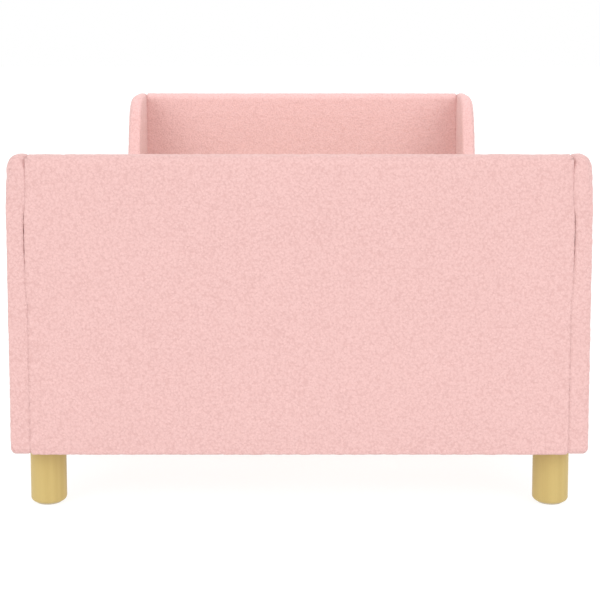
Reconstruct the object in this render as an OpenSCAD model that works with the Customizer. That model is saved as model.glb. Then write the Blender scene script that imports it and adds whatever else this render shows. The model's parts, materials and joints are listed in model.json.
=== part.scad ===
// Upholstered toddler bed: two padded end boards between two padded side panels, on round wooden legs.
// Millimetres. +Z is up, the foot end faces -Y and the head end +Y. The origin is on the floor under the
// middle of the bed. Each padded panel is a plywood core in foam in a fabric cover. The side panels run
// the whole length: high at the head, where they make two wings, and low in the middle.

/* [Mattress] */
// Length of the mattress that the bed takes
mattress_l = 1400; // [1160:10:1700]
// Width of the mattress that the bed takes
mattress_w = 700; // [580:10:900]
// Play along the mattress, both ends together
play_l = 10; // [4:1:30]
// Play across the mattress, both sides together
play_w = 6; // [4:1:30]

/* [Heights] */
// Height of the upholstery's underside above the floor
clear_h = 80; // [66:1:110]
// Height of the footboard's top
foot_h = 475; // [395:5:600]
// Height of the headboard's top
head_h = 475; // [395:5:700]
// Height of the side panels' low middle
rail_h = 300; // [250:5:330]
// Height of the slats' underside above the floor
slat_z = 170; // [165:1:205]

/* [Padding] */
// Thickness of the fabric
fabric_t = 1.5; // [1:0.1:3]
// Foam on each face of an end board
board_foam_t = 9.5; // [6:0.5:16]
// Foam on each face of a side panel
side_foam_t = 4.5; // [3:0.5:10]
// Plywood inside an end board
board_core_t = 18; // [15:1:24]
// Plywood inside a side panel
side_core_t = 15; // [14:1:21]
// Rounding of an end board's top and bottom edges
board_edge_r = 12; // [4:1:18]
// Rounding of a side panel's top outer corners, seen from the side
side_corner_r = 20; // [16:1:40]
// Rounding of a side panel's bottom corners, seen from the side
side_low_r = 8; // [7:1:20]

/* [Side panel outline] */
// How far the flat top of the head wing reaches in front of the headboard
head_wing_top = 55; // [20:1:140]
// Rounding of the head wing's top corner
head_wing_r = 65; // [30:1:80]
// Slope of the head wing's front edge from upright, in degrees
head_wing_lean = 17; // [5:1:35]
// Hollow curve where the head wing runs into the rail
head_sweep_r = 85; // [40:1:90]
// How far the flat top of the foot end reaches past the footboard's inner face
foot_wing_top = -8; // [-15:1:60]
// Rounding of the foot end's top corner
foot_wing_r = 65; // [30:1:80]
// Slope of the foot end's inner edge from upright, in degrees
foot_wing_lean = 20; // [5:1:35]
// Hollow curve where the foot end runs into the rail
foot_sweep_r = 85; // [40:1:90]

/* [Legs] */
// Leg diameter
leg_d = 48; // [40:1:58]
// Rounding of the leg's lower edge
leg_edge_r = 6; // [1:0.5:10]
// Thickness of the felt glide under a leg
glide_t = 2; // [1:0.5:4]
// Diameter of the felt glide
glide_d = 34; // [20:1:36]
// Leg axis in from the side panel's inner face
leg_in_x = 13.5; // [12:0.5:20]
// Leg axis in from the end board's inner face
leg_in_y = 14; // [12:0.5:20]

/* [Corner blocks and fixings] */
// Side of the square corner block
block_w = 50; // [50:1:64]
// Height of the corner block
block_h = 84; // [82:1:84]
// Block's bolt axes in from the panels' inner faces
bolt_in = 34; // [33:0.5:38]
// Diameter of the frame bolts
bolt_d = 6; // [5:0.5:6]
// Diameter of the bolt's flat head
bolt_head_d = 12; // [10:0.5:14]
// Thickness of the bolt's head
bolt_head_t = 3; // [2:0.5:4]
// Width across the flats of the bolt's socket
socket_af = 4; // [3:0.5:5]
// Washer diameter
washer_d = 16; // [14:0.5:18]
// Washer thickness
washer_t = 1.5; // [1:0.1:2]
// Barrel diameter of the tee nuts in the panels
tee_barrel_d = 8; // [7.5:0.1:9]
// Barrel length of the tee nuts
tee_barrel_l = 10; // [8:0.5:11]
// Flange diameter of the tee nuts
tee_flange_d = 18; // [15:0.5:22]
// Flange thickness of the tee nuts
tee_flange_t = 1.5; // [1:0.1:2]
// Diameter of the hanger bolts in the legs
hanger_d = 8; // [6:0.5:8]
// Length of a hanger bolt on each side of the joint
hanger_l = 25; // [20:1:28]
// Outer diameter of the threaded inserts that take the hanger bolts
insert_d = 11; // [10:0.5:12]
// Length of the threaded inserts
insert_l = 24; // [18:1:28]
// Diameter of the dowels near the top of each end board
dowel_d = 8; // [6:1:10]
// Depth of a dowel in the end board's core
dowel_in_board = 18; // [12:1:25]
// Depth of a dowel in the side panel's core
dowel_in_side = 10; // [8:0.5:11]
// Height of the upper dowel below the footboard's top
dowel_drop = 45; // [40:1:80]
// Spacing of the two dowels at a corner
dowel_pitch = 110; // [60:1:130]

/* [Slat base] */
// Width of the ledgers along the side panels
ledger_w = 27; // [22:1:34]
// Height of the ledgers
ledger_h = 40; // [30:1:50]
// Slat width
slat_w = 60; // [45:1:72]
// Slat thickness
slat_t = 12; // [9:0.5:18]
// Rounding of the slats' and bars' long edges
bar_edge_r = 2.5; // [0.5:0.5:4]
// Play between a slat's end and the side panel
slat_play = 4; // [2:0.5:8]
// Distance from an end board to the outer slat
slat_margin = 46; // [46:1:70]
// Width of the tapes that link the slats
tape_w = 25; // [15:1:40]
// Thickness of the tapes
tape_t = 1; // [0.6:0.1:2]
// Distance of each tape from the bed's middle line
tape_x = 215; // [140:5:220]
// Diameter of the wood screws
screw_d = 4; // [3:0.5:5]
// Diameter of a wood screw's head
screw_head_d = 8; // [7:0.5:9]

/* [Centre beam and leg] */
// Width of the centre beam
beam_w = 38; // [30:1:50]
// Height of the centre beam
beam_h = 60; // [45:1:62]
// Sheet thickness of the beam shoes
shoe_t = 2; // [1.5:0.5:4]
// Length of the shoes' cheeks along the beam
shoe_cheek_l = 40; // [25:1:60]
// Diameter of the centre leg
centre_leg_d = 38; // [28:1:46]
// Length of the double-ended screw that joins the centre leg to the beam
centre_screw_l = 40; // [30:1:44]
// Diameter of the levelling foot's threaded stud
stud_d = 8; // [6:0.5:10]
// Length of the stud inside the centre leg at rest
stud_l = 24; // [18:1:28]
// Width across the flats of the stud's hexagon
hex_af = 13; // [12:0.5:16]
// Height of the hexagon
hex_h = 6; // [4:0.5:8]
// Diameter of the levelling foot's pad
pad_d = 32; // [24:1:40]
// Height of the levelling foot's pad
pad_h = 8; // [7:0.5:12]
// Distance that the foot can be screwed in from rest
screw_in = 7.5; // [2.5:0.5:8]

/* [Hidden] */
NODES = [
    "footboard_core", "footboard_foam", "footboard_cover",
    "headboard_core", "headboard_foam", "headboard_cover",
    "left_side_core", "left_side_foam", "left_side_cover",
    "right_side_core", "right_side_foam", "right_side_cover",
    "foot_left_block", "foot_right_block", "head_left_block", "head_right_block",
    "foot_left_leg", "foot_right_leg", "head_left_leg", "head_right_leg",
    "foot_left_glide", "foot_right_glide", "head_left_glide", "head_right_glide",
    "leg_inserts", "leg_hanger_bolts", "frame_bolts", "frame_washers", "tee_nuts", "dowels",
    "left_ledger", "right_ledger", "ledger_screws",
    "centre_beam", "foot_beam_shoe", "head_beam_shoe", "shoe_screws",
    "centre_leg", "centre_leg_screw", "centre_leg_bush", "levelling_stud", "levelling_pad",
    "slat_01", "slat_02", "slat_03", "slat_04", "slat_05", "slat_06",
    "slat_07", "slat_08", "slat_09", "slat_10", "slat_11", "slat_12",
    "left_slat_tape", "right_slat_tape", "slat_screws"
];
$fn = 64;
eps = 0.01;         // overshoot of a cut past a face
arc_steps = 14;     // straight steps in each curve of a side panel's outline

pink = [0.96, 0.79, 0.76];
foam_yellow = [0.93, 0.88, 0.72];
plywood = [0.80, 0.66, 0.46];
beech = [0.87, 0.76, 0.51];
pine = [0.84, 0.72, 0.48];
steel = [0.72, 0.73, 0.75];
black = [0.12, 0.12, 0.12];

// Clearances
free_fit = 0.5;     // round a bolt in a plain hole
close_fit = 0.05;   // round a threaded, screwed or glued pair, drawn as a plain pin in a plain hole
turn_fit = 0.1;     // round the levelling foot's moving surfaces
seat_gap = 0.3;     // beam to shoe, hexagon to pad
face_gap = 0.2;     // a hard piece to the fabric that it is fixed to
end_room = 2;       // left at the bottom of a blind hole
tool_room = 3;      // between a bolt's head and the nearest piece

// Overall sizes
inner_l = mattress_l + play_l;
inner_w = mattress_w + play_w;
board_pad_t = board_foam_t + fabric_t;
side_pad_t = side_foam_t + fabric_t;
board_t = board_core_t + 2 * board_pad_t;
side_t = side_core_t + 2 * side_pad_t;
bed_l = inner_l + 2 * board_t;
board_mid_y = inner_l / 2 + board_t / 2;

// Corner fixings, in the +X +Y corner
leg_x = inner_w / 2 - leg_in_x;
leg_y = inner_l / 2 - leg_in_y;
board_bolt_z = [clear_h + 34, clear_h + 63];
side_bolt_z = [clear_h + 48.5, clear_h + 75];
dowel_z = [foot_h - dowel_drop, foot_h - dowel_drop - dowel_pitch];
bolt_start = block_w + face_gap + washer_t;   // from a panel's inner face back to the bolt head's seat
board_bolt_l = bolt_start + board_pad_t + board_core_t - end_room;
side_bolt_l = bolt_start + side_pad_t + side_core_t - end_room;

// Slat base
n_slats = 12;
first_slat = search(["slat_01"], NODES)[0];
slat_l = inner_w - 2 * slat_play;
slat_pitch = (inner_l - 2 * slat_margin - slat_w) / (n_slats - 1);
function slat_y(i) = -inner_l / 2 + slat_margin + slat_w / 2 + i * slat_pitch;
tape_l = 2 * slat_y(n_slats - 1) + slat_w - 16;
head_sink_h = 3;    // depth of a wood screw's countersunk head
ledger_l = inner_l - 2 * (bolt_start + bolt_head_t + tool_room);
n_ledger_screws = 5;
ledger_screw_l = ledger_w + face_gap + side_pad_t + side_core_t * 0.7;
ledger_screw_pitch = (ledger_l - 120) / (n_ledger_screws - 1);
slat_screw_l = slat_t + 22;
shoe_screw_l = shoe_t + face_gap + board_pad_t + board_core_t * 0.7;
shoe_screw_x = beam_w / 2 + 13;
shoe_flange_w = 2 * shoe_screw_x + 18;
beam_l = inner_l - 2 * (shoe_t + face_gap + seat_gap);
beam_z = slat_z - beam_h;

// Centre leg and levelling foot
hex_z = pad_h + seat_gap;
centre_leg_z = hex_z + hex_h + screw_in + 0.5;
centre_leg_h = beam_z - centre_leg_z;
centre_screw_up = centre_screw_l * 0.55;
centre_screw_down = centre_screw_l - centre_screw_up;
bush_d = stud_d + 6;
bush_l = 16;
ball_d = stud_d - 1;
ball_depth = 5;

// ---------------------------------------------------------------- outlines and repeated shapes

// Points along an arc about c, from angle a0 to a1, in equal turns
function arc(c, r, a0, a1) =
    [for (i = [0 : arc_steps])
        let (a = a0 + (a1 - a0) * i / arc_steps) [c[0] + r * cos(a), c[1] + r * sin(a)]];

// The edge from a wing's flat top down to the rail, for a wing at the +Y end: a rounded corner, a
// straight slope and a hollow sweep. inset shrinks the outline.
function wing_edge(top_y, top_z, r, lean, sweep, inset) =
    let (corner = [top_y, top_z - r],
         slope_y = corner[0] - r * cos(lean),
         slope_z = corner[1] + r * sin(lean),
         hollow_z = rail_h + sweep,
         hollow_y = slope_y + ((hollow_z - slope_z) * sin(lean) - sweep) / cos(lean))
    concat(arc(corner, r - inset, 90, 180 - lean),
           arc([hollow_y, hollow_z], sweep + inset, -lean, -90));

function flip(points) = [for (i = [len(points) - 1 : -1 : 0]) [-points[i][0], points[i][1]]];

// A side panel seen from the side, as [y, z] points, shrunk by inset on every edge
function side_outline(inset) =
    let (y = bed_l / 2 - side_corner_r, r = side_corner_r - inset,
         low_y = bed_l / 2 - side_low_r, low_z = clear_h + side_low_r, low_r = side_low_r - inset,
         head_edge = wing_edge(inner_l / 2 - head_wing_top, head_h, head_wing_r, head_wing_lean,
                               head_sweep_r, inset),
         foot_edge = wing_edge(inner_l / 2 - foot_wing_top, foot_h, foot_wing_r, foot_wing_lean,
                               foot_sweep_r, inset))
    concat(arc([low_y, low_z], low_r, -90, 0), arc([y, head_h - side_corner_r], r, 0, 90),
           head_edge, flip(foot_edge),
           arc([-y, foot_h - side_corner_r], r, 90, 180), arc([-low_y, low_z], low_r, 180, 270));

// side is -1 for left and 1 for right, end is -1 for the foot and 1 for the head
module at_side(side) {
    mirror([side < 0 ? 1 : 0, 0, 0]) children();
}

module at_end(end) {
    mirror([0, end < 0 ? 1 : 0, 0]) children();
}

module at_corners() {
    for (side = [-1, 1], end = [-1, 1]) at_side(side) at_end(end) children();
}

// A rectangle with round corners, its middle at the origin, made of true arcs
module round_rect(w, h, r) {
    square([w - 2 * r, h], center = true);
    square([w, h - 2 * r], center = true);
    for (x = [-1, 1], y = [-1, 1]) translate([x * (w / 2 - r), y * (h / 2 - r)]) circle(r = r);
}

// A bar along X whose long edges are rounded, its middle at the origin
module bar_x(length, w, h, r) {
    rotate([90, 0, 90]) linear_extrude(height = length, center = true) round_rect(w, h, r);
}

// A bar along Y whose long edges are rounded, its middle at the origin
module bar_y(length, w, h, r) {
    rotate([90, 0, 0]) linear_extrude(height = length, center = true) round_rect(w, h, r);
}

// A countersunk screw that points along -Z, its head's top at z = 0
module wood_screw(length, sink_h = head_sink_h) {
    translate([0, 0, -length]) cylinder(h = length - sink_h / 2, d = screw_d);
    translate([0, 0, -sink_h]) cylinder(h = sink_h, d1 = screw_d, d2 = screw_head_d);
}

// The hole for such a screw, with its countersink
module screw_hole(length, sink_h = head_sink_h) {
    translate([0, 0, -length - end_room]) cylinder(h = length + end_room, d = screw_d + 2 * close_fit);
    translate([0, 0, -sink_h - close_fit])
        cylinder(h = sink_h + close_fit + eps, d1 = screw_d + 2 * close_fit,
                 d2 = screw_head_d + 4 * close_fit);
}

// ---------------------------------------------------------------- where the fixings go

// Each place has its Z axis along the fixing and its origin on the panel's inner face
module board_bolt_places() {
    at_corners() for (z = board_bolt_z)
        translate([inner_w / 2 - bolt_in, inner_l / 2, z]) rotate([-90, 0, 0]) children();
}

module side_bolt_places() {
    at_corners() for (z = side_bolt_z)
        translate([inner_w / 2, inner_l / 2 - bolt_in, z]) rotate([0, 90, 0]) children();
}

module dowel_places() {
    at_corners() for (z = dowel_z)
        translate([inner_w / 2, board_mid_y, z]) rotate([0, 90, 0]) children();
}

// A wood screw's place has its origin at the screw head's top, and the screw points along -Z
module ledger_screw_places() {
    for (side = [-1, 1], i = [0 : n_ledger_screws - 1])
        at_side(side)
            translate([inner_w / 2 - face_gap - ledger_w,
                       (i - (n_ledger_screws - 1) / 2) * ledger_screw_pitch, slat_z - ledger_h / 2])
                rotate([0, -90, 0]) children();
}

module shoe_screw_places() {
    for (end = [-1, 1], x = [-1, 1], z = [0.25, 0.75])
        at_end(end)
            translate([x * shoe_screw_x, inner_l / 2 - face_gap - shoe_t, beam_z + z * beam_h])
                rotate([90, 0, 0]) children();
}

module slat_screw_places() {
    for (side = [-1, 1], i = [0, n_slats - 1])
        translate([side * (inner_w / 2 - face_gap - ledger_w / 2), slat_y(i), slat_z + slat_t])
            children();
}

// Every hole through the panels' padding and cores
module panel_holes() {
    board_bolt_places() translate([0, 0, -eps])
        cylinder(h = board_pad_t + board_core_t - tee_flange_t, d = bolt_d + 2 * free_fit);
    side_bolt_places() translate([0, 0, -eps])
        cylinder(h = side_pad_t + side_core_t - tee_flange_t, d = bolt_d + 2 * free_fit);
    dowel_places() translate([0, 0, -board_pad_t - dowel_in_board - 1])
        cylinder(h = board_pad_t + dowel_in_board + side_pad_t + dowel_in_side + 2,
                 d = dowel_d + 2 * close_fit);
    ledger_screw_places() screw_hole(ledger_screw_l);
    shoe_screw_places() screw_hole(shoe_screw_l, shoe_t);
}

// ---------------------------------------------------------------- padded panels

// An end board's outer solid, shrunk by inset on every face
module board_form(end, top, inset) {
    translate([0, end * board_mid_y, (clear_h + top) / 2])
        bar_x(inner_w - 2 * inset, board_t - 2 * inset, top - clear_h - 2 * inset,
              board_edge_r - min(inset, board_edge_r - 1));
}

module board_core_form(end, top) {
    translate([0, end * board_mid_y, (clear_h + top) / 2])
        cube([inner_w - 2 * board_pad_t, board_core_t, top - clear_h - 2 * board_pad_t],
             center = true);
}

module board_core(end, top) {
    color(plywood) difference() {
        board_core_form(end, top);
        panel_holes();
        board_bolt_places() translate([0, 0, board_pad_t + board_core_t]) tee_nut_seat();
    }
}

module board_foam(end, top) {
    color(foam_yellow) difference() {
        board_form(end, top, fabric_t);
        board_core_form(end, top);
        panel_holes();
    }
}

module board_cover(end, top) {
    color(pink) difference() {
        board_form(end, top, 0);
        board_form(end, top, fabric_t);
        panel_holes();
    }
}

// A side panel's outer solid, shrunk by inset on every face
module side_form(side, inset) {
    at_side(side) translate([inner_w / 2 + inset, 0, 0]) rotate([90, 0, 90])
        linear_extrude(height = side_t - 2 * inset) polygon(side_outline(inset));
}

module side_core(side) {
    color(plywood) difference() {
        side_form(side, side_pad_t);
        panel_holes();
        side_bolt_places() translate([0, 0, side_pad_t + side_core_t]) tee_nut_seat();
    }
}

module side_foam(side) {
    color(foam_yellow) difference() {
        side_form(side, fabric_t);
        side_form(side, side_pad_t);
        panel_holes();
    }
}

module side_cover(side) {
    color(pink) difference() {
        side_form(side, 0);
        side_form(side, fabric_t);
        panel_holes();
    }
}

// ---------------------------------------------------------------- legs and corner blocks

module corner_block(side, end) {
    color(pine) at_side(side) at_end(end) difference() {
        translate([inner_w / 2 - face_gap - block_w, inner_l / 2 - face_gap - block_w, clear_h])
            cube([block_w, block_w, block_h]);
        translate([leg_x, leg_y, clear_h - eps])
            cylinder(h = max(insert_l, hanger_l) + end_room, d = insert_d + 2 * close_fit);
        for (z = board_bolt_z) translate([inner_w / 2 - bolt_in, inner_l / 2, z]) rotate([90, 0, 0])
            cylinder(h = block_w + 1, d = bolt_d + 2 * free_fit);
        for (z = side_bolt_z) translate([inner_w / 2, inner_l / 2 - bolt_in, z]) rotate([0, -90, 0])
            cylinder(h = block_w + 1, d = bolt_d + 2 * free_fit);
    }
}

module leg(side, end) {
    leg_h = clear_h - glide_t;
    color(beech) at_side(side) at_end(end) translate([leg_x, leg_y, glide_t]) difference() {
        rotate_extrude() {
            square([leg_d / 2 - leg_edge_r, leg_h]);
            translate([0, leg_edge_r]) square([leg_d / 2, leg_h - leg_edge_r]);
            translate([leg_d / 2 - leg_edge_r, leg_edge_r]) circle(r = leg_edge_r);
        }
        translate([0, 0, leg_h - hanger_l - end_room])
            cylinder(h = hanger_l + end_room + 1, d = hanger_d + 2 * close_fit);
    }
}

module glide(side, end) {
    color(black) at_side(side) at_end(end) translate([leg_x, leg_y, 0])
        cylinder(h = glide_t, d = glide_d);
}

module leg_inserts() {
    color(steel) at_corners() translate([leg_x, leg_y, clear_h]) difference() {
        cylinder(h = insert_l, d = insert_d);
        translate([0, 0, -1]) cylinder(h = insert_l + 2, d = hanger_d + 2 * close_fit);
    }
}

module leg_hanger_bolts() {
    color(steel) at_corners() translate([leg_x, leg_y, clear_h - hanger_l])
        cylinder(h = 2 * hanger_l, d = hanger_d);
}

// ---------------------------------------------------------------- frame fixings

// A bolt along +Z with a hexagon socket, its head's seat at z = 0
module frame_bolt(length) {
    difference() {
        union() {
            translate([0, 0, -bolt_head_t]) cylinder(h = bolt_head_t, d = bolt_head_d);
            cylinder(h = length, d = bolt_d);
        }
        translate([0, 0, -bolt_head_t - eps])
            cylinder(h = bolt_head_t * 0.7, d = socket_af / cos(30), $fn = 6);
    }
}

module frame_bolts() {
    color(steel) {
        board_bolt_places() translate([0, 0, -bolt_start]) frame_bolt(board_bolt_l);
        side_bolt_places() translate([0, 0, -bolt_start]) frame_bolt(side_bolt_l);
    }
}

module washer() {
    translate([0, 0, -bolt_start]) difference() {
        cylinder(h = washer_t, d = washer_d);
        translate([0, 0, -1]) cylinder(h = washer_t + 2, d = bolt_d + 2 * free_fit);
    }
}

module frame_washers() {
    color(steel) {
        board_bolt_places() washer();
        side_bolt_places() washer();
    }
}

// A tee nut's solid: its flange's face is at z = 0 and its barrel runs along -Z
module tee_nut_form(gap) {
    translate([0, 0, -tee_flange_t - gap]) cylinder(h = tee_flange_t + gap, d = tee_flange_d + 2 * gap);
    translate([0, 0, -tee_flange_t - tee_barrel_l - gap])
        cylinder(h = tee_barrel_l + tee_flange_t, d = tee_barrel_d + 2 * gap);
}

module tee_nut_seat() {
    tee_nut_form(close_fit);
    translate([0, 0, -tee_flange_t]) cylinder(h = tee_flange_t + 1, d = tee_flange_d + 2 * close_fit);
}

module tee_nut() {
    difference() {
        tee_nut_form(0);
        translate([0, 0, -tee_flange_t - tee_barrel_l - 1])
            cylinder(h = tee_flange_t + tee_barrel_l + 2, d = bolt_d + 2 * close_fit);
    }
}

module tee_nuts() {
    color(steel) {
        board_bolt_places() translate([0, 0, board_pad_t + board_core_t]) tee_nut();
        side_bolt_places() translate([0, 0, side_pad_t + side_core_t]) tee_nut();
    }
}

module dowels() {
    color(beech) dowel_places() translate([0, 0, -board_pad_t - dowel_in_board])
        cylinder(h = board_pad_t + dowel_in_board + side_pad_t + dowel_in_side, d = dowel_d);
}

// ---------------------------------------------------------------- slat base

module ledger(side) {
    color(pine) difference() {
        translate([side * (inner_w / 2 - face_gap - ledger_w / 2), 0, slat_z - ledger_h / 2])
            bar_y(ledger_l, ledger_w, ledger_h, bar_edge_r);
        ledger_screw_places() screw_hole(ledger_screw_l);
        slat_screw_places() screw_hole(slat_screw_l);
    }
}

module ledger_screws() {
    color(steel) ledger_screw_places() wood_screw(ledger_screw_l);
}

module slat(i) {
    color(pine) difference() {
        translate([0, slat_y(i), slat_z + slat_t / 2]) bar_x(slat_l, slat_w, slat_t, bar_edge_r);
        slat_screw_places() screw_hole(slat_screw_l);
    }
}

module slat_screws() {
    color(steel) slat_screw_places() wood_screw(slat_screw_l);
}

module slat_tape(side) {
    color(black) translate([side * tape_x, 0, slat_z - tape_t / 2])
        cube([tape_w, tape_l, tape_t], center = true);
}

module centre_beam() {
    color(pine) difference() {
        translate([0, 0, beam_z + beam_h / 2]) bar_y(beam_l, beam_w, beam_h, bar_edge_r);
        translate([0, 0, beam_z - 1])
            cylinder(h = centre_screw_up + end_room + 1, d = hanger_d + 2 * close_fit);
    }
}

// A steel shoe on an end board, open at the top, that the beam's end drops into
module beam_shoe(end) {
    slot_w = beam_w + 2 * seat_gap;
    floor_z = beam_z - seat_gap;
    plate_y = inner_l / 2 - face_gap - shoe_t;
    cheek_y = inner_l / 2 - face_gap - shoe_cheek_l;
    color(steel) difference() {
        at_end(end) difference() {
            union() {
                translate([-shoe_flange_w / 2, plate_y, floor_z - shoe_t])
                    cube([shoe_flange_w, shoe_t, beam_h + shoe_t]);
                translate([-slot_w / 2 - shoe_t, cheek_y, floor_z - shoe_t])
                    cube([slot_w + 2 * shoe_t, shoe_cheek_l, beam_h * 0.8]);
            }
            translate([-slot_w / 2, cheek_y - 1, floor_z]) cube([slot_w, plate_y - cheek_y + 1, beam_h]);
        }
        shoe_screw_places() screw_hole(shoe_screw_l, shoe_t);
    }
}

module shoe_screws() {
    color(steel) shoe_screw_places() wood_screw(shoe_screw_l, shoe_t);
}

// ---------------------------------------------------------------- centre leg and its levelling foot

module centre_leg() {
    color(beech) difference() {
        translate([0, 0, centre_leg_z]) cylinder(h = centre_leg_h, d = centre_leg_d);
        translate([0, 0, centre_leg_z - 1]) cylinder(h = bush_l + 1, d = bush_d + 2 * close_fit);
        translate([0, 0, centre_leg_z - 1])
            cylinder(h = 1 + stud_l + screw_in + end_room, d = stud_d + 2 * free_fit);
        translate([0, 0, beam_z - centre_screw_down - end_room])
            cylinder(h = centre_screw_down + end_room + 1, d = hanger_d + 2 * close_fit);
    }
}

module centre_leg_screw() {
    color(steel) translate([0, 0, beam_z - centre_screw_down]) cylinder(h = centre_screw_l, d = hanger_d);
}

module centre_leg_bush() {
    color(steel) translate([0, 0, centre_leg_z]) difference() {
        cylinder(h = bush_l, d = bush_d);
        translate([0, 0, -1]) cylinder(h = bush_l + 2, d = stud_d + 2 * turn_fit);
    }
}

// A threaded stud with a hexagon to turn it by, on a peg that turns in the pad
module levelling_stud() {
    color(steel) {
        translate([0, 0, pad_h - ball_depth + turn_fit]) cylinder(h = hex_z - pad_h + ball_depth, d = ball_d);
        translate([0, 0, hex_z]) cylinder(h = hex_h, d = hex_af / cos(30), $fn = 6);
        translate([0, 0, hex_z]) cylinder(h = centre_leg_z - hex_z + stud_l, d = stud_d);
    }
}

module levelling_pad() {
    color(black) difference() {
        union() {
            cylinder(h = pad_h / 2, d = pad_d);
            translate([0, 0, pad_h / 2]) cylinder(h = pad_h / 2, d1 = pad_d, d2 = hex_af + 4);
        }
        translate([0, 0, pad_h - ball_depth]) cylinder(h = ball_depth + 1, d = ball_d + 2 * turn_fit);
    }
}

// ---------------------------------------------------------------- nodes

board_core(-1, foot_h);  // footboard_core
board_foam(-1, foot_h);  // footboard_foam
board_cover(-1, foot_h);  // footboard_cover
board_core(1, head_h);  // headboard_core
board_foam(1, head_h);  // headboard_foam
board_cover(1, head_h);  // headboard_cover
side_core(-1);  // left_side_core
side_foam(-1);  // left_side_foam
side_cover(-1);  // left_side_cover
side_core(1);  // right_side_core
side_foam(1);  // right_side_foam
side_cover(1);  // right_side_cover
corner_block(-1, -1);  // foot_left_block
corner_block(1, -1);  // foot_right_block
corner_block(-1, 1);  // head_left_block
corner_block(1, 1);  // head_right_block
leg(-1, -1);  // foot_left_leg
leg(1, -1);  // foot_right_leg
leg(-1, 1);  // head_left_leg
leg(1, 1);  // head_right_leg
glide(-1, -1);  // foot_left_glide
glide(1, -1);  // foot_right_glide
glide(-1, 1);  // head_left_glide
glide(1, 1);  // head_right_glide
leg_inserts();
leg_hanger_bolts();
frame_bolts();
frame_washers();
tee_nuts();
dowels();
ledger(-1);  // left_ledger
ledger(1);  // right_ledger
ledger_screws();
centre_beam();
beam_shoe(-1);  // foot_beam_shoe
beam_shoe(1);  // head_beam_shoe
shoe_screws();
centre_leg();
centre_leg_screw();
centre_leg_bush();
levelling_stud();
levelling_pad();
for (i = [0 : n_slats - 1])
    slat(i);
slat_tape(-1);  // left_slat_tape
slat_tape(1);  // right_slat_tape
slat_screws();
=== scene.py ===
"""Toddler bed upholstered in pink boucle: the looks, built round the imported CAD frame.

Everything is in metres, in the CAD's own frame: X is across the bed, Y runs from the foot (-Y) to the
head (+Y), and Z is up from the floor. The four upholstered panels get new padded covers, made by voxel
remesh, a cloth simulation and rounded edges. Every other CAD solid stays and gets a procedural material.
"""

import json
import math

import bmesh
import bpy
import numpy as np
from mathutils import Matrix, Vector, kdtree, noise


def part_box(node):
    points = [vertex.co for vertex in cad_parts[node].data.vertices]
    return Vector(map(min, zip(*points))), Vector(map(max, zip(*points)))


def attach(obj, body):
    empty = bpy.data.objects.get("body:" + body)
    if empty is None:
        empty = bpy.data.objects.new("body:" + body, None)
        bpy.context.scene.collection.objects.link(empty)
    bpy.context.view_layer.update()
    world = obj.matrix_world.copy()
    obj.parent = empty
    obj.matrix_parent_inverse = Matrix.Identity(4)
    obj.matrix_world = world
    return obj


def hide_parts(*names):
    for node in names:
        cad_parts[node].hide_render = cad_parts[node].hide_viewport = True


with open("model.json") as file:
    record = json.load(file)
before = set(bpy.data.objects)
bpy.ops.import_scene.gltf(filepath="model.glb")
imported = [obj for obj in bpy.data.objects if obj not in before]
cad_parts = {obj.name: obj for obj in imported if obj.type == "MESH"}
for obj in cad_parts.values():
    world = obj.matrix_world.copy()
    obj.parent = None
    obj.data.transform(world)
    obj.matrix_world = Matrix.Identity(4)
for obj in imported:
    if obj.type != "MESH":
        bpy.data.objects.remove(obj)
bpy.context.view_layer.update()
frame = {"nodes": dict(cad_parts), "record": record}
nodes = frame["nodes"]
scene = bpy.context.scene

MM = 0.001


# ---------------------------------------------------------------- camera, floor and light

CAMERA_AT = (0.0070, -2.6095, 0.6580)
CAMERA_DOWN = math.radians(6.075)
SENSOR = 36                  # mm
LENS = 87.41                 # mm
SHIFT_X = -0.0079
SHIFT_Y = -0.22
FAR = 60
SUN_WIDTH = math.radians(38)
FLOOR_HALF = 15


def make_camera():
    """The photo's view: square on to the footboard, from a little above the bed."""
    data = bpy.data.cameras.new("camera")
    data.sensor_width = SENSOR
    data.lens = LENS
    data.shift_x = SHIFT_X
    data.shift_y = SHIFT_Y
    data.clip_end = FAR
    camera = bpy.data.objects.new("camera", data)
    camera.location = CAMERA_AT
    camera.rotation_euler = (math.pi / 2 - CAMERA_DOWN, 0, 0)
    scene.collection.objects.link(camera)
    scene.camera = camera


def make_world(seen, shed):
    """An even white surround: seen is how bright it looks, and shed how much light it gives."""
    world = bpy.data.worlds.new("studio")
    world.use_nodes = True
    tree = world.node_tree
    background = tree.nodes["Background"]
    background.inputs["Color"].default_value = (1, 1, 1, 1)
    path = tree.nodes.new("ShaderNodeLightPath")
    strength = tree.nodes.new("ShaderNodeMapRange")
    strength.inputs["To Min"].default_value = shed
    strength.inputs["To Max"].default_value = seen
    tree.links.new(path.outputs["Is Camera Ray"], strength.inputs["Value"])
    tree.links.new(strength.outputs[0], background.inputs["Strength"])
    scene.world = world


def inner_light(name, at, look_at, size, watts, colour):
    """A square light over the bed, out of the camera's sight, for the space between the head wings."""
    data = bpy.data.lights.new(name, "AREA")
    data.shape = "SQUARE"
    data.size = size
    data.energy = watts
    data.color = colour
    light = bpy.data.objects.new(name, data)
    light.location = at
    light.rotation_euler = (Vector(look_at) - Vector(at)).to_track_quat("-Z", "Y").to_euler()
    light.visible_camera = False
    scene.collection.objects.link(light)


def soft_sun(name, azimuth, elevation, strength):
    """A far, wide and soft light: azimuth 0 is in front of the footboard, and 90 on the picture's right."""
    data = bpy.data.lights.new(name, "SUN")
    data.angle = SUN_WIDTH
    data.energy = strength
    light = bpy.data.objects.new(name, data)
    light.rotation_euler = (math.radians(90 - elevation), 0, math.radians(azimuth))
    scene.collection.objects.link(light)


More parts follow.
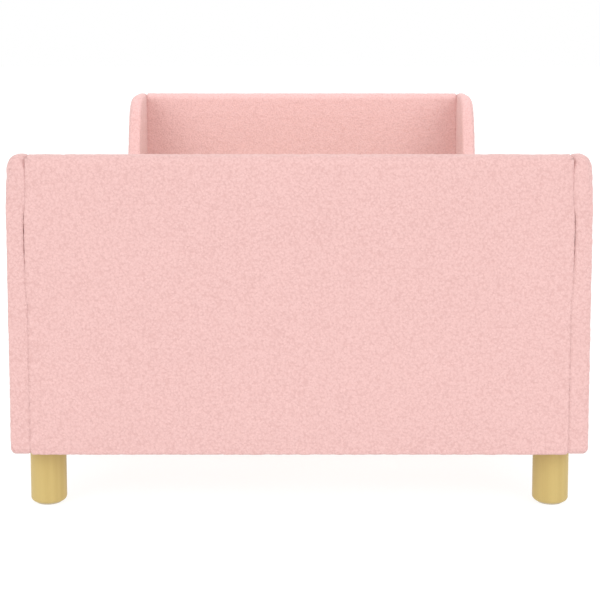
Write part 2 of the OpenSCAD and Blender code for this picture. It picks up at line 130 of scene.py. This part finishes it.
def new_mesh_object(name, points, faces):
    mesh = bpy.data.meshes.new(name)
    mesh.from_pydata([tuple(p) for p in points], [], faces)
    mesh.update()
    thing = bpy.data.objects.new(name, mesh)
    scene.collection.objects.link(thing)
    return thing


def make_floor():
    corners = [(-FLOOR_HALF, -FLOOR_HALF, 0), (FLOOR_HALF, -FLOOR_HALF, 0),
               (FLOOR_HALF, FLOOR_HALF, 0), (-FLOOR_HALF, FLOOR_HALF, 0)]
    floor = new_mesh_object("floor", corners, [(0, 1, 2, 3)])
    floor.data.materials.append(floor_material())
    return floor


# ---------------------------------------------------------------- material kit


class Shader:
    """Short calls for building one material's nodes."""

    def __init__(self, name):
        self.material = bpy.data.materials.new(name)
        self.material.use_nodes = True
        self.tree = self.material.node_tree
        self.bsdf = self.tree.nodes["Principled BSDF"]
        self.coords = self.tree.nodes.new("ShaderNodeTexCoord").outputs["Object"]

    def node(self, kind, inputs=None, **settings):
        made = self.tree.nodes.new(kind)
        for key, value in settings.items():
            setattr(made, key, value)
        for key, value in (inputs or {}).items():
            self.feed(made.inputs[key], value)
        return made

    def feed(self, socket, value):
        if isinstance(value, bpy.types.NodeSocket):
            self.tree.links.new(value, socket)
        else:
            socket.default_value = value

    def place(self, scale=(1, 1, 1), move=(0, 0, 0)):
        """Object coordinates, stretched and moved."""
        made = self.node("ShaderNodeMapping", {0: self.coords})
        made.inputs["Scale"].default_value = scale
        made.inputs["Location"].default_value = move
        return made.outputs[0]

    def noise(self, vector, scale, detail=2.0, rough=0.5, bend=0.0, out="Fac"):
        inputs = {"Vector": vector, "Scale": scale, "Detail": detail, "Roughness": rough, "Distortion": bend}
        return self.node("ShaderNodeTexNoise", inputs).outputs[out]

    def cells(self, vector, scale, feature="F1", out="Distance", smooth=None):
        inputs = {"Vector": vector, "Scale": scale}
        if smooth is not None:
            inputs["Smoothness"] = smooth
        return self.node("ShaderNodeTexVoronoi", inputs, feature=feature).outputs[out]

    def math(self, operation, a, b=0.0, clamp=False):
        made = self.node("ShaderNodeMath", {0: a, 1: b}, operation=operation, use_clamp=clamp)
        return made.outputs[0]

    def vector_math(self, operation, a, b):
        return self.node("ShaderNodeVectorMath", {0: a, 1: b}, operation=operation).outputs[0]

    def scaled(self, vector, factor):
        made = self.node("ShaderNodeVectorMath", {0: vector}, operation="SCALE")
        made.inputs["Scale"].default_value = factor
        return made.outputs[0]

    def spread(self, value, low, high, to_low=0.0, to_high=1.0):
        """value, mapped from low..high to to_low..to_high and clamped."""
        inputs = {"Value": value, "From Min": low, "From Max": high, "To Min": to_low, "To Max": to_high}
        return self.node("ShaderNodeMapRange", inputs).outputs[0]

    def ramp(self, value, *stops):
        """A colour ramp through (position, colour) stops."""
        made = self.node("ShaderNodeValToRGB", {0: value})
        band = made.color_ramp
        while len(band.elements) < len(stops):
            band.elements.new(0.5)
        for element, (position, colour) in zip(band.elements, stops):
            element.position = position
            element.color = (*colour, 1)
        return made.outputs[0]

    def mix(self, how_much, a, b):
        made = self.node("ShaderNodeMix", data_type="RGBA", blend_type="MIX")
        self.feed(made.inputs[0], how_much)
        self.feed(made.inputs[6], a if isinstance(a, bpy.types.NodeSocket) else (*a, 1))
        self.feed(made.inputs[7], b if isinstance(b, bpy.types.NodeSocket) else (*b, 1))
        return made.outputs[2]

    def bump(self, height, distance, strength):
        inputs = {"Height": height, "Distance": distance, "Strength": strength}
        return self.node("ShaderNodeBump", inputs).outputs[0]

    def surface(self, **inputs):
        """Sets the shader's own sockets, named with _ for a space."""
        for key, value in inputs.items():
            socket = self.bsdf.inputs[key.replace("_", " ")]
            is_colour = isinstance(value, tuple) and len(value) == 3
            self.feed(socket, (*value, 1) if is_colour else value)
        return self.material


# ---------------------------------------------------------------- materials


NUB_CURL = 0.0036            # how far the nubs' edges are bent about
VENEER = 0.0015
ALONG_RINGS = 0.045          # how much slower than across it the wood's pattern changes along the grain
ALONG_FIBRES = 0.02
ALONG_PORES = 0.08


def boucle(name, light, middle, dark):
    """Looped pile: curled nubs about 3 mm across. Its colour is painted, paler on top as painted light and
    deeper in colour between them as painted shade, with some random tone over it.
    """
    s = Shader(name)
    swirl = s.noise(s.coords, 380, detail=1, out="Color")
    swirl = s.scaled(s.vector_math("SUBTRACT", swirl, (0.5, 0.5, 0.5)), NUB_CURL)
    curled = s.vector_math("ADD", s.coords, swirl)
    nub = s.cells(curled, 310, "SMOOTH_F1", smooth=0.3)
    loop = s.cells(curled, 620)
    fibre = s.noise(curled, 900, detail=3, rough=0.65, bend=1.2)
    patch = s.noise(s.coords, 42, detail=2, rough=0.55)
    tide = s.noise(s.coords, 5, detail=2)
    relief = s.math("ADD", s.spread(nub, 0.12, 0.82, 0.85, 0.0), s.spread(loop, 0.1, 0.85, 0.5, 0.0))
    relief = s.math("ADD", relief, s.math("MULTIPLY", fibre, 0.36))
    tone = s.math("ADD", s.spread(relief, 0.35, 1.35), s.spread(patch, 0.3, 0.7, -0.03, 0.03))
    tone = s.math("ADD", tone, s.spread(tide, 0.3, 0.7, -0.03, 0.03), clamp=True)
    # painted light and painted shade: the ramp lightens the colour where the pile's relief is high, on the
    # nubs' tops, and darkens it where the relief is low, between the nubs; patch and tide add random tone
    colour = s.ramp(tone, (0.0, dark), (0.5, middle), (1.0, light))
    return s.surface(
        Base_Color=colour,
        Roughness=0.93,
        Specular_IOR_Level=0.18,
        Sheen_Weight=0.22,
        Sheen_Roughness=0.55,
        Sheen_Tint=(1.0, 0.88, 0.86),
        Normal=s.bump(relief, 0.0013, 0.45),
    )


def wood(name, light, dark, axis, seed, ring=26, rough=0.5, grain=1.0):
    """Planed wood whose grain runs along axis (0, 1 or 2): year rings, fine fibres and short pores."""
    s = Shader(name)
    move = (seed * 0.37 % 3, seed * 0.71 % 3, seed * 1.13 % 3)

    def stretched(share):
        return s.place(scale=tuple(share if i == axis else 1.0 for i in range(3)), move=move)

    placed = stretched(ALONG_RINGS)
    warp = s.noise(placed, 9, detail=3, out="Color")
    bent = s.vector_math("ADD", placed, s.scaled(warp, 0.055))
    waves = {"Vector": bent, "Scale": ring, "Distortion": 2.2, "Detail": 2.0, "Detail Scale": 1.4}
    rings = s.node("ShaderNodeTexWave", waves, wave_type="RINGS", rings_direction="XYZ"[axis])
    fibres = s.noise(stretched(ALONG_FIBRES), 620, detail=4, rough=0.6)
    pores = s.spread(s.cells(stretched(ALONG_PORES), 520), 0.06, 0.2)
    flame = s.noise(placed, 3.2, detail=2)
    tone = s.math("MULTIPLY", s.spread(rings.outputs["Fac"], 0.1, 1.0), 0.42 * grain)
    tone = s.math("ADD", tone, s.spread(fibres, 0.3, 0.7, 0.0, 0.34 * grain))
    tone = s.math("ADD", tone, s.spread(flame, 0.3, 0.7, 0.0, 0.24 * grain), clamp=True)
    colour = s.ramp(tone, (0.0, light), (1.0, dark))
    colour = s.mix(s.spread(pores, 0, 1, 0.28 * grain, 0.0), colour, dark)
    return s.surface(
        Base_Color=colour,
        Roughness=s.spread(fibres, 0.2, 0.8, rough - 0.06, rough + 0.08),
        Specular_IOR_Level=0.22,
        Normal=s.bump(fibres, 0.00025, 0.5),
    )


def plywood(name, light, dark, axis, seed):
    """Birch plywood: veneers 1.5 mm thick across the panel (axis), each with its own tone."""
    s = Shader(name)
    split = s.node("ShaderNodeSeparateXYZ", {0: s.coords}).outputs[axis]
    veneer = s.math("FLOOR", s.math("MULTIPLY", split, 1 / VENEER))
    tone = s.math("MULTIPLY", s.math("PINGPONG", veneer, 1.0), 0.4)
    grain = s.noise(s.place(scale=(0.05, 1, 1), move=(seed, 0, 0)), 180, detail=4)
    tone = s.math("ADD", tone, s.math("MULTIPLY", grain, 0.5), clamp=True)
    return s.surface(Base_Color=s.ramp(tone, (0.0, light), (1.0, dark)), Roughness=0.62,
                     Normal=s.bump(grain, 0.0003, 0.4))


def steel(name):
    """Bright zinc plate with a faint spangle."""
    s = Shader(name)
    spangle = s.cells(s.coords, 900, out="Color")
    grey = s.spread(s.node("ShaderNodeSeparateColor", {0: spangle}).outputs[0], 0, 1)
    haze = s.noise(s.coords, 260, detail=3)
    return s.surface(
        Base_Color=s.ramp(grey, (0.0, (0.52, 0.54, 0.56)), (1.0, (0.66, 0.67, 0.68))),
        Metallic=1.0,
        Roughness=s.spread(haze, 0.3, 0.7, 0.24, 0.42),
        Normal=s.bump(haze, 0.0001, 0.3),
    )


def felt(name):
    """Pressed oat-coloured felt with loose fibres."""
    s = Shader(name)
    fibre = s.noise(s.coords, 1500, detail=4, rough=0.7, bend=2.0)
    mat = s.noise(s.coords, 220, detail=3)
    tone = s.math("ADD", s.math("MULTIPLY", fibre, 0.6), s.math("MULTIPLY", mat, 0.4), clamp=True)
    return s.surface(Base_Color=s.ramp(tone, (0.25, (0.42, 0.38, 0.31)), (0.8, (0.64, 0.59, 0.50))),
                     Roughness=0.96, Sheen_Weight=0.2, Normal=s.bump(fibre, 0.0006, 0.6))


def plastic(name):
    """Black moulded plastic with a fine spark-eroded texture."""
    s = Shader(name)
    spark = s.cells(s.coords, 2600, "SMOOTH_F1", smooth=0.6)
    dust = s.noise(s.coords, 60, detail=4)
    return s.surface(
        Base_Color=s.ramp(dust, (0.3, (0.012, 0.012, 0.013)), (0.75, (0.030, 0.030, 0.032))),
        Roughness=s.spread(dust, 0.3, 0.7, 0.38, 0.52),
        Normal=s.bump(spark, 0.00012, 0.5),
    )


def webbing(name):
    """Woven polypropylene tape: a plain weave about 1.2 mm to the yarn."""
    s = Shader(name)
    waves = {"Vector": s.coords, "Scale": 130.0, "Distortion": 0.3}
    along = s.node("ShaderNodeTexWave", waves, bands_direction="Y")
    across = s.node("ShaderNodeTexWave", waves, bands_direction="X")
    weave = s.math("MAXIMUM", along.outputs["Fac"], across.outputs["Fac"])
    fuzz = s.noise(s.coords, 700, detail=3)
    tone = s.math("ADD", s.math("MULTIPLY", weave, 0.7), s.math("MULTIPLY", fuzz, 0.3), clamp=True)
    return s.surface(Base_Color=s.ramp(tone, (0.1, (0.55, 0.52, 0.46)), (0.9, (0.80, 0.77, 0.70))),
                     Roughness=0.8, Normal=s.bump(weave, 0.0005, 0.7))


def foam(name):
    """Open-cell upholstery foam."""
    s = Shader(name)
    pores = s.cells(s.coords, 1100)
    return s.surface(Base_Color=s.ramp(pores, (0.1, (0.74, 0.66, 0.42)), (0.6, (0.90, 0.84, 0.62))),
                     Roughness=0.95, Normal=s.bump(pores, 0.0006, 0.6))


def floor_material():
    """Matt studio floor with a trace of unevenness. It glows, so that it stays white under the bed."""
    s = Shader("studio_floor")
    tone = s.noise(s.coords, 2.5, detail=3)
    return s.surface(Base_Color=s.ramp(tone, (0.0, (0.24, 0.24, 0.24)), (1.0, (0.26, 0.26, 0.26))),
                     Roughness=0.9, Specular_IOR_Level=0.1,
                     Emission_Color=(1, 1, 1), Emission_Strength=0.82)


# Colours as linear (light, dark) pairs, or three steps of one pink: the pink's light step is painted light on
# the nubs' tops, and its dark step is painted shade between them.
BEECH = ((0.515, 0.388, 0.149), (0.450, 0.329, 0.119))
PINE = ((0.680, 0.535, 0.340), (0.540, 0.385, 0.215))
PLY = ((0.66, 0.48, 0.28), (0.46, 0.31, 0.16))
PINK_PAINTED_LIT = (0.720, 0.466, 0.447)
PINK_MIDDLE = (0.674, 0.425, 0.406)
PINK_PAINTED_SHADE = (0.605, 0.367, 0.349)

SLOT_OF = {row["node"]: row["material_slot"] for row in frame["record"]["subparts"]}


def dress(node, material):
    mesh = nodes[node].data
    mesh.materials.clear()
    mesh.materials.append(material)


def dress_cad_nodes():
    """Every CAD node gets a procedural material; each wooden one has its own piece of grain."""
    shared = {
        "zinc_steel": steel("zinc_steel"),
        "felt": felt("felt"),
        "black_plastic": plastic("black_plastic"),
        "tape": webbing("webbing"),
        "foam": foam("foam"),
        "boucle": boucle("boucle_under", PINK_PAINTED_LIT, PINK_MIDDLE, PINK_PAINTED_SHADE),
    }
    for seed, node in enumerate(sorted(nodes)):
        slot = SLOT_OF[node]
        if slot in shared:
            dress(node, shared[slot])
        elif slot == "plywood":
            dress(node, plywood("plywood_" + node, *PLY, axis=1 if "board" in node else 0, seed=seed))
        elif node.startswith("slat"):
            dress(node, wood("pine_" + node, *PINE, axis=0, seed=seed, ring=17, grain=1.1))
        elif slot == "pine":
            dress(node, wood("pine_" + node, *PINE, axis=1, seed=seed, ring=17, grain=1.1))
        else:
            beech = wood("beech_" + node, *BEECH, axis=2, seed=seed, ring=30, rough=0.42, grain=0.75)
            dress(node, beech)


# ---------------------------------------------------------------- padded panels


SIDE_VOXEL = 6.4 * MM
BOARD_VOXEL = 5.2 * MM
CORNER_REACH = 0.62          # how near an edge a remeshed point has to be to belong on it, in voxels
CLOTH_FRAMES = 20
STILL = 0.05 * MM            # the cloth is pinned where it may move less than this
LOOP_RELIEF = 0.55 * MM      # height and frequency of the pile's loops, and of its coarser tufts
LOOP_PITCH = 165
TUFT_RELIEF = 0.40 * MM
TUFT_PITCH = 62
SAME = 1e-5                  # two levels this near are one
SAMPLE = 0.6 * MM            # spacing of the places that an outline is measured from
ON_LINE = 0.4 * MM           # a point this near an outline is on it
SNAP = 1.6 * MM              # a remeshed point this near a face of its slab belongs on it
CUT = SNAP / 8               # a remeshed point further than this from both faces of an edge has cut it


def face_outline(node, axis, level):
    """The edge of a CAD node's flat face at level on axis, in order, as 2-D points in the other two axes."""
    mesh = nodes[node].data
    points = np.array([v.co for v in mesh.vertices])
    keep = [i for i in range(3) if i != axis]
    edges = {}

    def key(i):
        return tuple(np.round(points[i][keep], 5))

    for polygon in mesh.polygons:
        corners = list(polygon.vertices)
        if all(abs(points[i][axis] - level) < SAME for i in corners):
            for a, b in zip(corners, corners[1:] + corners[:1]):
                pair = (key(a), key(b))
                if pair[::-1] in edges:
                    del edges[pair[::-1]]
                else:
                    edges[pair] = True
    after = dict(list(edges))
    start = min(after)
    loop, at = [start], after[start]
    while at != start:
        loop.append(at)
        at = after[at]
    return np.array(loop)


def signed_area(loop):
    x, y = loop[:, 0], loop[:, 1]
    return 0.5 * np.sum(x * np.roll(y, -1) - y * np.roll(x, -1))


class Outline:
    """A closed outline, and how far inside it any point is."""

    def __init__(self, loop):
        loop = loop if signed_area(loop) > 0 else loop[::-1]
        spots, normals = [], []
        for a, b in zip(loop, np.roll(loop, -1, axis=0)):
            length = np.linalg.norm(b - a)
            out = np.array([b[1] - a[1], a[0] - b[0]]) / length
            n = max(1, int(length / SAMPLE))
            for k in range(n):
                spots.append(a + (b - a) * (k + 0.5) / n)
                normals.append(out)
        self.spots, self.normals = np.array(spots), np.array(normals)
        self.tree = kdtree.KDTree(len(spots))
        for i, (x, y) in enumerate(spots):
            self.tree.insert((x, y, 0), i)
        self.tree.balance()

    def depth(self, flat):
        """For 2-D points: how far inside the outline each is, the way out, and the nearest place."""
        found = np.array([self.tree.find((x, y, 0))[1] for x, y in flat])
        near, out = self.spots[found], self.normals[found]
        gap = near - flat
        far = np.linalg.norm(gap, axis=1)
        inside = np.sum(gap * out, axis=1) > -1e-9
        depth = np.where(inside, far, -far)
        way = gap / np.maximum(far, 1e-9)[:, None] * np.where(inside, 1, -1)[:, None]
        out = np.where((far > ON_LINE)[:, None], way, out)
        return depth, out, near


def slab(name, loop, axis, low, high, voxel):
    """A closed slab with that outline, between low and high on axis, remeshed into even quads."""
    n = len(loop)
    points = np.zeros((2 * n, 3))
    flat = [i for i in range(3) if i != axis]
    points[:, flat] = np.vstack([loop, loop])
    points[:n, axis], points[n:, axis] = low, high
    sides = [(i, (i + 1) % n, n + (i + 1) % n, n + i) for i in range(n)]
    thing = new_mesh_object(name, points, [tuple(range(n))[::-1], tuple(range(n, 2 * n)), *sides])
    bm = bmesh.new()
    bm.from_mesh(thing.data)
    bmesh.ops.recalc_face_normals(bm, faces=bm.faces)
    bmesh.ops.triangulate(bm, faces=[f for f in bm.faces if len(f.verts) > 4])
    bm.to_mesh(thing.data)
    bm.free()
    apply_modifier(thing, "REMESH", mode="VOXEL", voxel_size=voxel, adaptivity=0)
    return thing


def apply_modifier(thing, kind, **settings):
    made = thing.modifiers.new(kind.lower(), kind)
    for key, value in settings.items():
        setattr(made, key, value)
    bake(thing)


def bake(thing):
    """Turns what the modifiers show into the mesh itself."""
    graph = bpy.context.evaluated_depsgraph_get()
    mesh = bpy.data.meshes.new_from_object(thing.evaluated_get(graph))
    thing.modifiers.clear()
    thing.data = mesh


def read(thing):
    points = np.zeros(len(thing.data.vertices) * 3)
    thing.data.vertices.foreach_get("co", points)
    return points.reshape(-1, 3)


def write(thing, points):
    thing.data.vertices.foreach_set("co", points.ravel())
    thing.data.update()


def vertex_normals(thing):
    normals = np.zeros(len(thing.data.vertices) * 3)
    thing.data.vertices.foreach_get("normal", normals)
    return normals.reshape(-1, 3)


def smooth_step(value, low, high):
    t = np.clip((value - low) / (high - low), 0, 1)
    return t * t * (3 - 2 * t)


def round_corner(depth, height, deep, high):
    """Turns the square edge, where depth and height are both 0, into a quarter ellipse, deep by high."""
    u, v = 1 - depth / deep, 1 - height / high
    near = (u > 0) & (v > 0)
    shrink = 1 / np.maximum(np.hypot(u, v), 1e-9)
    depth = np.where(near, deep * (1 - u * shrink), depth)
    height = np.where(near, high * (1 - v * shrink), height)
    return depth, height


def halve(thing):
    """Splits every quad in four, without moving or smoothing anything."""
    apply_modifier(thing, "SUBSURF", subdivision_type="SIMPLE", levels=1, render_levels=1)


def add_cloth(thing):
    """A closed cover under pressure, held at its pins, with no weight."""
    cloth = thing.modifiers.new("cloth", "CLOTH")
    settings = cloth.settings
    settings.quality = 4
    settings.mass = 0.35
    settings.tension_stiffness = settings.compression_stiffness = 12
    settings.shear_stiffness = 6
    settings.bending_stiffness = 0.6
    settings.use_pressure = True
    settings.uniform_pressure_force = 4
    settings.effector_weights.gravity = 0
    settings.vertex_group_mass = "pins"
    cloth.collision_settings.use_collision = False


class Panel:
    """One upholstered panel. axis runs through its thickness; outer and inner are its faces' levels on it."""

    def __init__(self, name, axis, loop, outer, inner, voxel):
        self.name, self.axis, self.outer, self.inner = name, axis, outer, inner
        self.flat = [i for i in range(3) if i != axis]
        self.away = 1 if outer > inner else -1
        self.thick = abs(outer - inner)
        self.outline = Outline(loop)
        low, high = min(outer, inner), max(outer, inner)
        self.thing = slab(name, loop, axis, low, high, voxel)
        self.square_up(voxel * CORNER_REACH, outer_too=axis == 1)

    def parts(self, points):
        """Depth inside the outline, outward direction, and height below the outer face."""
        depth, out, near = self.outline.depth(points[:, self.flat])
        return depth, out, near, (self.outer - points[:, self.axis]) * self.away

    def square_up(self, corner, outer_too):
        """Moves the remeshed slab's points onto its true planes, and those that cut the inner edge, within
        corner of it, onto that edge. outer_too does the same for the outer edge."""
        points = read(self.thing)
        depth, out, near, height = self.parts(points)
        cut = (depth > CUT) & (depth < corner)
        outer_edge = cut & (height > CUT) & (height < corner) & outer_too
        inner_edge = cut & (self.thick - height > CUT) & (self.thick - height < corner)
        rim = (depth < SNAP) | outer_edge | inner_edge
        height = np.where((height < SNAP) | outer_edge, 0, height)
        height = np.where((self.thick - height < SNAP) | inner_edge, self.thick, height)
        points[:, self.flat] = np.where(rim[:, None], near, points[:, self.flat])
        points[:, self.axis] = self.outer - self.away * height
        write(self.thing, points)

    def shape(self, radii):
        """Rounds the slab's edges. radii(near, out) gives (outer deep, outer high, inner deep, inner high)
        along the outline."""
        points = read(self.thing)
        depth, out, near, height = self.parts(points)
        depth = np.where(depth < ON_LINE, 0, depth)
        old = depth.copy()
        outer_deep, outer_high, inner_deep, inner_high = radii(near, out)
        depth, height = round_corner(depth, height, outer_deep, outer_high)
        depth, under = round_corner(depth, self.thick - height, inner_deep, inner_high)
        height = self.thick - under
        edge = old == 0
        points[:, self.flat] = np.where(edge[:, None], near - out * depth[:, None],
                                        points[:, self.flat] - out * (depth - old)[:, None])
        points[:, self.axis] = self.outer - self.away * height
        write(self.thing, points)

    def swell(self, frames, cap_of):
        """Halves the slab's quads, and returns how far a cloth simulation of that many frames moves each
        point: never more than cap_of(points). The slab itself stays flat."""
        if not frames:
            halve(self.thing)
            return 0.0
        flat = self.thing.copy()
        flat.data = self.thing.data.copy()
        scene.collection.objects.link(flat)
        start = read(self.thing)
        cap = cap_of(start)
        pins = self.thing.vertex_groups.new(name="pins")
        still = [int(i) for i in np.flatnonzero(cap <= STILL)]
        pins.add(still, 1.0, "REPLACE")
        add_cloth(self.thing)
        for number in range(1, frames + 1):
            scene.frame_set(number)
        graph = bpy.context.evaluated_depsgraph_get()
        moved = np.zeros(len(start) * 3)
        self.thing.evaluated_get(graph).data.vertices.foreach_get("co", moved)
        bake(self.thing)
        scene.frame_set(1)
        push = moved.reshape(-1, 3) - start
        length = np.linalg.norm(push, axis=1)
        held = cap * np.tanh(length / np.maximum(cap, 1e-6))
        share = np.where(length > 1e-7, held / np.maximum(length, 1e-9), 0)
        write(self.thing, start + push * share[:, None])
        print(self.name, "points", len(start), "push", round(float(length.max()) / MM, 2), "mm")
        halve(self.thing)
        halve(flat)
        moved_by = read(self.thing) - read(flat)
        write(self.thing, read(flat))
        bpy.data.objects.remove(flat)
        return moved_by


def nubs(thing):
    """Pushes the surface in and out along its normals, for the loops and tufts of the pile."""
    points, normals = read(thing), vertex_normals(thing)
    push = np.empty(len(points))
    for i, p in enumerate(points):
        at = Vector(p)
        loops = LOOP_RELIEF * noise.noise(at * LOOP_PITCH)
        push[i] = loops + TUFT_RELIEF * noise.noise(at * TUFT_PITCH)
    write(thing, points + normals * push[:, None])


def finish_panel(panel, material, replaced):
    thing = panel.thing
    nubs(thing)
    thing.data.materials.clear()
    thing.data.materials.append(material)
    for polygon in thing.data.polygons:
        polygon.use_smooth = True
    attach(thing, "frame")
    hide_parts(*replaced)


def side_radii(near, out):
    """A side panel's edges, in mm: a big outer round along the top, which the ends' rounding grows into, and
    smaller ones below."""
    up = smooth_step(out[:, 1], 0.0, 0.9)
    down = smooth_step(-out[:, 1], 0.1, 0.9)
    end = 1 - np.clip(up + down, 0, 1)
    top = near[:, 1].max()
    rise = smooth_step(near[:, 1], top - 75 * MM, top - 12 * MM)
    outer_deep = up * 18 + down * 7.5 + end * (5 + 13 * rise)
    outer_high = up * 13.5 + down * 7 + end * (4 + 9.5 * rise)
    inner_deep = up * 9 + down * 2.5 + end * (1.6 + 2 * rise)
    inner_high = up * 10 + down * 2.5 + end * (1.6 + 2 * rise)
    return outer_deep * MM, outer_high * MM, inner_deep * MM, inner_high * MM


def board_radii(near, out):
    """An end board's edges, in mm: a full soft round along the top, small ones elsewhere."""
    up = smooth_step(out[:, 1], 0.1, 0.9)
    deep = 1.8 + up * 12
    high = 1.8 + up * 14
    return deep * MM, high * MM, deep * MM, high * MM


BELLY_SOFT = 18 * MM
SEAM_PRESS = 1.1 * MM        # how far an end board's sides press into the side panels
SEAM_SLIP = 2.6 * MM         # how far the padding pushes the corner seam outward, and where, as in the photo
SLIP_LOW, SLIP_HIGH = 0.292, 0.412
SEAM_GAP = 1.7 * MM          # the seam stands open over part of that length
GAP_LOW, GAP_HIGH = 0.338, 0.400
OVER_SLATS = (0.19, 0.22)    # the inner faces are free to swell above these heights
SEAM_REACH = 22 * MM         # how far in from the seam the fabric follows


def belly(z, low, high):
    """1 between the heights low and high, fading to 0 round each of them."""
    rising = smooth_step(z, low - BELLY_SOFT, low + BELLY_SOFT)
    return rising * (1 - smooth_step(z, high - BELLY_SOFT, high + BELLY_SOFT))


def press_board_seam(panel, slips):
    """An end board's sides press into the side panels. slips: the front edges bulge further, as on the
    footboard."""
    points = read(panel.thing)
    low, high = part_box("footboard_cover")
    share = smooth_step(np.abs(points[:, 0]), high[0] - SEAM_REACH, high[0])
    push = SEAM_PRESS * share
    if slips:
        share *= 1 - smooth_step(points[:, 1], low[1], low[1] + SEAM_REACH)
        push = push + SEAM_SLIP * share * belly(points[:, 2], SLIP_LOW, SLIP_HIGH)
    points[:, 0] += np.sign(points[:, 0]) * push
    write(panel.thing, points)


def slip_side_seam(panel):
    """A side panel's front edge gives way to the footboard, and leaves the seam a little open."""
    points = read(panel.thing)
    low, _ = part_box("footboard_cover")
    share = 1 - smooth_step(np.abs(points[:, 0]) - abs(panel.inner), 0, SEAM_REACH)
    share *= 1 - smooth_step(points[:, 1], low[1], low[1] + SEAM_REACH)
    push = SEAM_SLIP * belly(points[:, 2], SLIP_LOW, SLIP_HIGH)
    push = push + SEAM_GAP * belly(points[:, 2], GAP_LOW, GAP_HIGH)
    points[:, 0] += np.sign(points[:, 0]) * share * push
    write(panel.thing, points)


def side_cap(outline, inner):
    """How far the cloth may move on a side panel: 3 mm outward, and 1.2 mm inward above the slats."""
    def cap(points):
        depth = outline.depth(points[:, 1:])[0]
        outside = np.abs(points[:, 0]) - abs(inner)
        far = smooth_step(depth, 0.0, 45 * MM)
        outward = smooth_step(outside, 8 * MM, 20 * MM) * 3.0
        inward = (1 - smooth_step(outside, 0, 8 * MM)) * 1.2 * smooth_step(points[:, 2], *OVER_SLATS)
        return np.maximum(outward, inward) * far * MM
    return cap


def board_cap(outline, outer, inner):
    """How far the cloth may move on an end board: 2.5 mm outward, and 1.5 mm inward above the slats."""
    def cap(points):
        depth = outline.depth(points[:, [0, 2]])[0]
        share = (points[:, 1] - inner) / (outer - inner)
        far = smooth_step(depth, 0.0, 50 * MM)
        outward = smooth_step(share, 0.4, 0.8) * 2.5
        inward = (1 - smooth_step(share, 0.1, 0.4)) * 1.5 * smooth_step(points[:, 2], *OVER_SLATS)
        return np.maximum(outward, inward) * far * MM
    return cap


def rectangle(low, high, a, b):
    """The outline of a box, seen along its third axis."""
    return np.array([[low[a], low[b]], [high[a], low[b]], [high[a], high[b]], [low[a], high[b]]])


def make_panels():
    pink = boucle("pink_boucle", PINK_PAINTED_LIT, PINK_MIDDLE, PINK_PAINTED_SHADE)
    frames = CLOTH_FRAMES
    for side, sign in (("left", -1), ("right", 1)):
        low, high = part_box(side + "_side_cover")
        outer, inner = (low[0], high[0]) if sign < 0 else (high[0], low[0])
        loop = face_outline(side + "_side_cover", 0, outer)
        panel = Panel(side + "_side_boucle", 0, loop, outer, inner, SIDE_VOXEL)
        moved_by = panel.swell(frames, side_cap(panel.outline, inner))
        panel.shape(side_radii)
        write(panel.thing, read(panel.thing) + moved_by)
        slip_side_seam(panel)
        finish_panel(panel, pink, [side + "_side_cover", side + "_side_foam"])
    for end, sign in (("footboard", -1), ("headboard", 1)):
        low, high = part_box(end + "_cover")
        outer, inner = (low[1], high[1]) if sign < 0 else (high[1], low[1])
        loop = rectangle(low, high, 0, 2)
        panel = Panel(end + "_boucle", 1, loop, outer, inner, BOARD_VOXEL)
        moved_by = panel.swell(frames, board_cap(panel.outline, outer, inner))
        panel.shape(board_radii)
        write(panel.thing, read(panel.thing) + moved_by)
        press_board_seam(panel, slips=end == "footboard")
        finish_panel(panel, pink, [end + "_cover", end + "_foam"])


# ---------------------------------------------------------------- put together

scene.view_settings.view_transform = "Standard"
scene.view_settings.look = "None"
make_camera()
make_world(seen=1.0, shed=1.05)
soft_sun("left_sun", -42, 25, 0.76)
soft_sun("right_sun", 42, 25, 0.73)
soft_sun("back_sun", 165, 40, 0.30)
inner_light("head_light", at=(0.0, 0.0, 1.15), look_at=(0.0, 0.72, 0.32), size=0.7, watts=2.5,
            colour=(1.0, 0.90, 1.0))
make_floor()
dress_cad_nodes()
make_panels()
